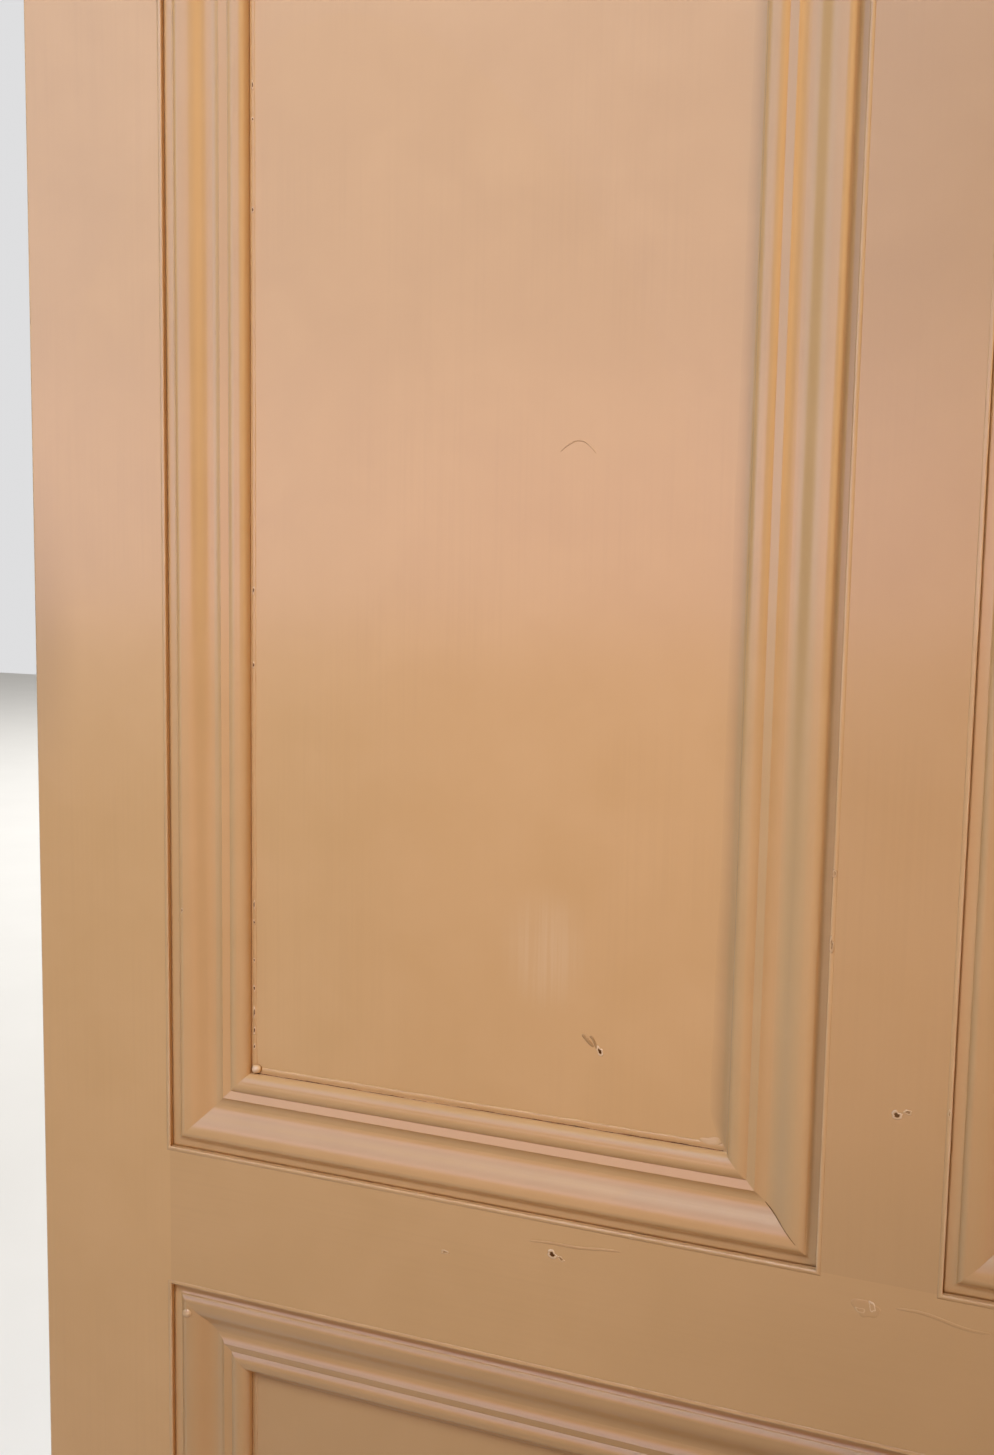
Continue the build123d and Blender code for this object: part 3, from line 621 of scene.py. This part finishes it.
def make_fillet_section():
    """Return the section of a hollow fillet of paint, which runs out on the panel and ends under it.

    With the share across it from 0 to 1, the paint stands proud by the cube of what is left and a
    little of what is left itself, and the swell raises it by the fifth power of what is left.
    """
    share = np.append(np.linspace(0, 0.89, 9), (0.94, 1.0))
    left = 1 - share[:9]
    depth = np.append(-0.2 * left**3 - 0.03 * left, (0.03, 0.35))
    fillet = np.stack([1.1 - 0.8 * share, depth, -fillet_width * share, -2.9 * (1 - share) ** 5], 1)
    return np.concatenate([fillet, [(1.2, 0.6, 0, 0)]]) * millimetre


class DOOR_OT_edges(bpy.types.Operator):
    """Run the thick edge of the paint along the arrises of every opening"""

    bl_idname = "door.edges"
    bl_label = "Thicken the painted edges"

    def execute(self, context):
        """Carry a rounded ridge over each opening's arris, pale on its crest as worn paint and a painted
        highlight, and fill its quirk with paint that is darkened with painted shade on the right and bottom
        runs.
        """
        proud = context.scene.door_paint.edge_height
        section = edge_section * (millimetre, millimetre, proud, proud)
        paint = paint_on("upper_middle_rail")
        for seed, name in enumerate(panel_names):
            corners = opening_of(name)
            swell = swell_of(seed, 0.3, 1.15)
            pale_wear_and_highlight = -0.75 * swell**2 * side_share(0.5, 0.4, 0.4, 0.35)
            wear_and_painted_light = np.outer(pale_wear_and_highlight, edge_wear_and_highlight).ravel()
            settle_ring(f"{name}_painted_edge", corners, face_y, section, swell, wear_and_painted_light, paint)

            filling = side_share(1.0, 0.5, 0.0, 0.6)
            # Painted shade in the quirk: strongest on the right side and faint on the bottom.
            darkening = (0.16 + 0.1 * swell) * side_share(0.0, 0.0, 1.0, 0.15)
            wear_and_painted_light = np.outer(darkening, quirk_painted_shade_profile).ravel()
            settle_ring(f"{name}_quirk_painted_shade", corners, face_y, quirk_section, filling, wear_and_painted_light, paint)
        return {"FINISHED"}


class DOOR_OT_joints(bpy.types.Operator):
    """Open the joint between each panel and its mouldings, with the paint beside it"""

    bl_idname = "door.joints"
    bl_label = "Open the panel joints"

    def execute(self, context):
        """Carry a dark gap, a low ridge and a fillet of paint round each panel, just inside the bead. The
        fillet is darkened near the bead, a painted shadow of the bead.
        """
        gap = make_gap("joint_dirt", context.scene.door_paint)
        fillet_section = make_fillet_section()
        # The fillet is half as wide at the top of the right side as at its foot.
        widening = np.interp(np.arange(4 * side_points), (2 * side_points, 3 * side_points), (0.5, 1.0))
        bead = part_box("upper_left_left_moulding")
        inset = bead[1][0] - bead[0][0]
        for seed, name in enumerate(panel_names):
            low, high = opening_of(name)
            corners = (low + inset, high - inset)
            paint = paint_on(f"{name}_panel")

            width = swell_of(seed + 10, -0.1, 1.0) * side_share(0.3, 0.1, 0.0, 1.15)
            settle_ring(f"{name}_open_joint", corners, panel_y, gap_section, width, None, gap)

            width = swell_of(seed + 20, 0.3, 1.0) * side_share(0.5, 0.6, 0.2, 1.0)
            wear_and_painted_light = np.outer(width * side_share(1.0, 0.0, 0.0, 0.0), ridge_wear).ravel()
            settle_ring(f"{name}_joint_paint", corners, panel_y, ridge_section, width, wear_and_painted_light, paint)

            # The fillet lies on the right side and faintly on the top; its darkening near the bead is the
            # bead's painted shadow on the panel.
            width = swell_of(seed + 30, 0.85, 1.0) * side_share(0.0, 0.1, 1.0, 0.0, reach=21) * widening
            wear_and_painted_light = np.outer(width, fillet_painted_shadow).ravel()
            settle_ring(f"{name}_joint_fillet", corners, panel_y, fillet_section, width, wear_and_painted_light, paint)
        return {"FINISHED"}


# Marks

# A chip is a raised lip of paint round bare wood, a drop is a round dome and a smear a low flat patch.
# A row is a share of the radius and a share of the rise, from the middle over the rim to underneath.
chip_section = np.array(
    ((0.1, 0.03), (0.42, 0.04), (0.52, 0.1), (0.75, 0.18), (1.0, -0.05), (0.5, -0.5), (0.1, -0.5))
)
drop_section = np.array(
    ((0.15, 1.0), (0.45, 0.9), (0.75, 0.68), (0.95, 0.36), (1.0, 0.0), (0.7, -0.4), (0.2, -0.4))
)
smear_section = np.array(
    ((0.1, 0.10), (0.4, 0.10), (0.7, 0.08), (0.9, 0.04), (1.0, -0.04), (0.5, -0.3), (0.1, -0.3))
)


def mark_wear(rings, middle):
    """Return the wear of a mark: one amount for each ring, then its middle and its underside."""
    return np.append(np.repeat(rings, rim_points), (middle, 0))


chip_wear = mark_wear((1, 1, -0.2, -0.7, -0.3, 0, 0), 1)
drop_wear = mark_wear((-0.6, -0.6, -0.4, 0.2, 0.6, 0, 0), -0.6)
smear_wear = mark_wear((1, 1, 0.7, 0.3, 0, 0, 0), 1)

# How far the marks on an arris or along a joint are set forward of the surface.
mark_lift = 0.2 * millimetre


def chips_on(front, places):
    """Return a chip for each place: x, z, half the width and half the height in millimetres, and lean."""
    return [
        patch_on((x, z), front, (wide, high), 1.0, lean, chip_section, 0.35, seed)
        for seed, (x, z, wide, high, lean) in enumerate(places)
    ]


def mark_panel():
    """Mark the upper left panel.

    It has a scratched dent, a hair under the paint, dirt along the left joint, a drop of paint and a
    smear of filler. The hair rises as a sine and falls again as a cube.
    """
    joint_x = opening_of("upper_left")[0][0] + 51.5 * millimetre
    specks = (
        (1.809, 2.4), (1.791, 1.2), (1.743, 2.0), (1.534, 2.6), (1.4916, 1.8), (1.352, 2.6),
        (1.3416, 1.5), (1.3189, 1.4), (1.302, 2.4), (1.2876, 3.6), (1.2766, 2.6), (1.2668, 2.0),
    )
    dent = chips_on(panel_y, [(-0.6603, 1.2943, 1.9, 2.7, 20)])
    darkening = chips_on(panel_y - mark_lift, [(joint_x, z, 0.8, high, 0) for z, high in specks])
    share = np.linspace(0, 1, 24)
    hair_z = 1.6096 + 0.0065 * np.sin(2.6 * share) - 0.0042 * share**3
    hair = line_on(-0.690 + 0.0195 * share, panel_y, hair_z)
    tear = line_on(-0.6705 + 0.0068 * share, panel_y, 1.3024 - 0.0062 * share)
    tear_beside = line_on(-0.6662 + 0.0042 * share, panel_y, 1.3018 - 0.0066 * share**2)
    strands = [
        strand_along(hair, 0.32, 0.5),
        strand_along(tear, 1.1, 0.3),
        strand_along(tear_beside, 0.8, 0.3),
    ]
    amounts = [chip_wear] * (len(dent) + len(darkening)) + [0.22, 0.35, 0.4]
    paint = paint_on("upper_left_panel")
    settle("panel_marks", *join_shapes(dent + darkening + strands, amounts), paint)

    drop = patch_on((-0.8710, 1.2536), panel_y, (3.2, 3.0), 3.0, 0, drop_section, 0.12, 3)
    smear = patch_on((-0.5985, 1.2548), panel_y, (7.0, 2.0), 2.0, 2, smear_section, 0.3, 5)
    settle("panel_filler", *join_shapes([drop, smear], [drop_wear, -0.35 * smear_wear]), paint)


def mark_rail():
    """Mark the rail under the upper panels: chips, two low wavy ridges of old paint and a filled hole."""
    places = (
        (-0.6806, 1.1818, 3.4, 2.2, -14), (-0.6755, 1.1802, 2.6, 1.2, -20), (-0.7437, 1.1706, 2.2, 1.4, 0),
        (-0.6357, 1.2003, 2.9, 1.3, -6), (-0.5115, 1.1880, 1.9, 3.0, 30), (-0.5172, 1.1852, 3.6, 1.3, -12),
    )
    amounts = [chip_wear * share for share in (1.0, 0.5, 0.4, 0.8, 0.9, 0.45)]
    share = np.linspace(0, 1, 40)
    ridge_z = 1.1868 + 0.0036 * share + 0.0004 * np.sin(9 * share)
    low_ridge_z = 1.1895 - 0.003 * share + 0.0012 * np.sin(6 * share)
    strands = [
        strand_along(line_on(-0.694 + 0.052 * share, face_y, ridge_z), 0.8, 0.22),
        strand_along(line_on(-0.500 + 0.045 * share, face_y, low_ridge_z), 0.9, 0.08),
    ]
    rim = patch_on((-0.5145, 1.1866), face_y, (6.5, 5.0), 1.2, -10, smear_section, 0.3, 8)
    shapes = join_shapes(chips_on(face_y, places) + strands + [rim], amounts + [0.10, 0.03, 0.04])
    settle("rail_marks", *shapes, paint_on("upper_middle_rail"))


def mark_muntin():
    """Mark the muntin: a dent above the rail and chips on both its arrises."""
    low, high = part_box("upper_muntin")
    left, right = low[0] + 0.6 * millimetre, high[0] - 0.6 * millimetre
    dents = chips_on(face_y, ((-0.5042, 1.2882, 3.0, 2.2, 10), (-0.4990, 1.2905, 2.0, 1.5, 20)))
    edge_places = ((left, 1.3693, 1.2, 4.0, 0), (right, 1.2923, 1.0, 3.0, 0), (left, 1.405, 0.9, 2.6, 0))
    chips = dents + chips_on(face_y - mark_lift, edge_places)
    amounts = [chip_wear * share for share in (0.9, 0.5, 0.5, 0.5, 0.4)]
    settle("muntin_marks", *join_shapes(chips, amounts), paint_on("upper_muntin"))


def mark_mouldings():
    """Mark the mouldings: a pin head under the paint, a dot of dirt and an open mitre.

    The mitre's crack runs in from the corner by as much as it runs up, and follows the moulding's
    depth, which is given at eight distances from the opening.
    """
    pin_y, dot_y = face_y + 0.9 * millimetre, face_y + 0.7 * millimetre
    pin = patch_on((-0.9138, 1.0977), pin_y, (3.2, 2.6), 1.3, 0, drop_section, 0.1, 4)
    dot = patch_on((-0.9150, 1.3465), dot_y, (0.9, 1.3), 1.0, 0, chip_section, 0.3, 9)
    shapes = join_shapes([pin, dot], [-0.25, chip_wear * 0.7])
    settle("moulding_marks", *shapes, paint_on("upper_left_left_moulding"))

    low, high = opening_of("upper_left")
    distances = (11.0, 14.3, 16.9, 19.5, 22.1, 24.7, 27.3, 28.5)
    depths = (0.75, 1.31, 2.28, 3.8, 5.7, 6.83, 7.31, 7.33)
    width = np.linspace(distances[0], distances[-1], 40)
    crack_y = face_y + np.interp(width, distances, depths) * millimetre
    crack = line_on(high[0] - width * millimetre, crack_y, low[1] + width * millimetre)
    shapes = join_shapes([strand_along(crack, 0.35, 0.8)], [0.8])
    settle("open_mitre", *shapes, paint_on("upper_left_right_moulding"))


class DOOR_OT_blemishes(bpy.types.Operator):
    """Add the chips, drops, scratches and filled places of the leaf's face"""

    bl_idname = "door.blemishes"
    bl_label = "Add the blemishes"

    def execute(self, context):
        """Place each mark on the piece that carries it, in that piece's own paint."""
        mark_panel()
        mark_rail()
        mark_muntin()
        mark_mouldings()
        return {"FINISHED"}


class DOOR_OT_metal(bpy.types.Operator):
    """Finish the brass and the steel"""

    bl_idname = "door.metal"
    bl_label = "Finish the metal"

    def execute(self, context):
        """Make the two metals and put them on their nodes."""
        settings = context.scene.door_metal
        metals = {
            "brass": make_metal("worn_brass", settings.brass, 0.28, (400.0, 400.0, 400.0), 1.0),
            "steel": make_metal("dull_steel", settings.steel, 0.38, (900.0, 900.0, 60.0), 0.35),
        }
        for node, slot in slot_of.items():
            if slot in metals:
                dress(node, metals[slot])
        return {"FINISHED"}


# Stage

floor_reach = 14.0
floor_drop = 0.5 * millimetre

# The light from all round is warm on the camera's side and even on the wall behind the door.
fill_tint, wall_tint = (0.98, 0.89, 0.735, 1.0), (0.92, 0.92, 0.93, 1.0)

# The large cards, in the order that they are hung. A row is the name, the middle, the point faced,
# the width and height, the share of the card power, the tint, and the light it doesn't give.
cards = (
    ("left_card", (-2.7, -1.5, 2.2), (-0.8, 0.0, 1.5), (1.4, 2.4), 0.09, (0.50, 0.82, 1.0), "none"),
    ("right_card", (3.0, -3.3, 2.9), (-0.6, 0.0, 1.5), (3.0, 3.4), 1.34, (1.0, 0.545, 0.181), "none"),
    ("side_card", (3.4, -1.3, 2.0), (-0.6, 0.0, 1.5), (1.8, 2.6), 0.38, (1.0, 0.42, 0.02), "none"),
    ("sky_card", (-2.2, -2.4, 2.5), (-1.6, 0.0, 2.0), (3.4, 2.3), 0.728, (0.01, 0.273, 1.0), "diffuse"),
    ("band_card", (-2.2, -2.3, 1.66), (-2.0, 0.0, 1.6), (3.4, 0.62), 0.19, (1.0, 0.59, 0.47), "diffuse"),
    ("front_card", (-0.9, -2.6, 1.0), (-0.9, 0.0, 1.2), (2.4, 1.6), 0.13, (1.0, 0.17, 0.01), "diffuse"),
    ("back_card", (2.2, 3.4, 3.0), (0.0, 0.4, 1.1), (3.0, 2.0), 2.4, (1.0, 0.97, 0.93), "none"),
    ("floor_card", (-3.0, 8.0, 5.5), (-3.0, 7.9, 0.0), (11.0, 10.0), 18.0, (1.0, 0.99, 0.97), "glossy"),
)

# The photograph's camera: its place, and its tilt, roll and heading in degrees.
camera_place = (-0.4268, -0.7180, 1.5570)
camera_turn = (83.3527, -0.9675, 21.9998)


def lay_floor(settings):
    """Lay the floor just under the sill."""
    material, wiring = new_material("studio_floor")
    grain = wiring.noise(wiring.place(), 3.0, detail=3.0)
    tone = wiring.mix(grain, colour(settings.floor_colour), colour(settings.floor_colour, 0.94))
    wiring.surface({"Base Color": tone, "Roughness": 0.8})
    corners = np.array([(-1, -1, 0), (1, -1, 0), (1, 1, 0), (-1, 1, 0)]) * floor_reach - (0, 0, floor_drop)
    floor = piece_from("floor", corners, [np.array([[0, 1, 2, 3]])], None, material)


def light_room(scene, settings):
    """Light the room from all round, eased from the camera's side to the wall behind the door."""
    scene.world = scene.world or bpy.data.worlds.new("studio")
    scene.world.use_nodes = True
    sky = Wiring(scene.world.node_tree)
    away = sky.part_of(sky.put("ShaderNodeTexCoord", "Generated", {}), "Y")
    tint = sky.mix(sky.span(away, -0.05, 0.5), fill_tint, wall_tint)
    strength = sky.span(away, -0.05, 0.5, settings.fill_strength, settings.wall_strength)
    shade = sky.put("ShaderNodeBackground", "Background", {"Color": tint, "Strength": strength})
    sky.close("ShaderNodeOutputWorld", shade)


def add_card(name, centre, aim, size, power, tint, missing):
    """Add a large soft light that faces a point, that the camera doesn't see."""
    light = bpy.data.lights.new(name, "AREA")
    light.shape = "RECTANGLE"
    light.size, light.size_y = size
    light.energy = power
    light.color = tint
    card = bpy.data.objects.new(name, light)
    card.location = centre
    card.rotation_euler = (Vector(aim) - Vector(centre)).to_track_quat("-Z", "Y").to_euler()
    card.visible_camera = False
    card.visible_diffuse = missing != "diffuse"
    card.visible_glossy = missing != "glossy"
    bpy.context.scene.collection.objects.link(card)
    return card


def hang_cards(settings):
    """Hang the key light, which is narrower than the large cards, and then those."""
    centre, aim, size, tint = (-0.9, -1.1, 2.9), (-0.82, 0.0, 1.68), (1.2, 0.8), (0.68, 0.79, 0.98)
    key = add_card("key", centre, aim, size, settings.key_power, tint, "glossy")
    key.data.spread = math.radians(60)
    for name, centre, aim, size, share, tint, missing in cards:
        add_card(name, centre, aim, size, settings.card_power * share, tint, missing)


def stand_camera(scene, settings):
    """Stand the camera where the photograph's was."""
    camera = bpy.data.objects.new("camera", bpy.data.cameras.new("camera"))
    camera.data.lens = settings.focal_length
    camera.data.sensor_width = 36.0
    camera.data.clip_start = 20 * millimetre
    turn = Euler([math.radians(angle) for angle in camera_turn]).to_matrix()
    camera.matrix_world = Matrix.Translation(camera_place) @ turn.to_4x4()
    scene.collection.objects.link(camera)
    scene.camera = camera
    scene.view_settings.view_transform = "Standard"


class DOOR_OT_stage(bpy.types.Operator):
    """Set the floor, the lights and the camera"""

    bl_idname = "door.stage"
    bl_label = "Set the studio"

    def execute(self, context):
        """Set up the floor, the room's light, the cards and the camera."""
        settings = context.scene.door_stage
        lay_floor(settings)
        light_room(context.scene, settings)
        hang_cards(settings)
        stand_camera(context.scene, settings)
        return {"FINISHED"}


class DOOR_PT_panel(bpy.types.Panel):
    """Lists the settings and the steps of the door"""

    bl_label = "Panelled front door"
    bl_space_type = "VIEW_3D"
    bl_region_type = "UI"
    bl_category = "Door"

    def draw(self, context):
        """Show each group of settings above its steps."""
        groups = (
            (context.scene.door_paint, ("door.paint", "door.edges", "door.joints", "door.blemishes")),
            (context.scene.door_metal, ("door.metal",)),
            (context.scene.door_stage, ("door.stage",)),
        )
        for group, operators in groups:
            for name in group.__annotations__:
                self.layout.prop(group, name)
            for operator in operators:
                self.layout.operator(operator)


classes = (
    PaintSettings,
    MetalSettings,
    StageSettings,
    DOOR_OT_paint,
    DOOR_OT_edges,
    DOOR_OT_joints,
    DOOR_OT_blemishes,
    DOOR_OT_metal,
    DOOR_OT_stage,
    DOOR_PT_panel,
)


def register():
    """Register the classes and hang the settings on the scene."""
    for item in classes:
        bpy.utils.register_class(item)
    bpy.types.Scene.door_paint = bpy.props.PointerProperty(type=PaintSettings)
    bpy.types.Scene.door_metal = bpy.props.PointerProperty(type=MetalSettings)
    bpy.types.Scene.door_stage = bpy.props.PointerProperty(type=StageSettings)


def unregister():
    """Take the settings off the scene and the classes out of Blender."""
    del bpy.types.Scene.door_stage, bpy.types.Scene.door_metal, bpy.types.Scene.door_paint
    for item in reversed(classes):
        bpy.utils.unregister_class(item)


def main():
    """Build the looks step by step."""
    register()
    bpy.ops.door.paint()
    bpy.ops.door.edges()
    bpy.ops.door.joints()
    bpy.ops.door.blemishes()
    bpy.ops.door.metal()
    bpy.ops.door.stage()


if __name__ == "__main__":
    main()
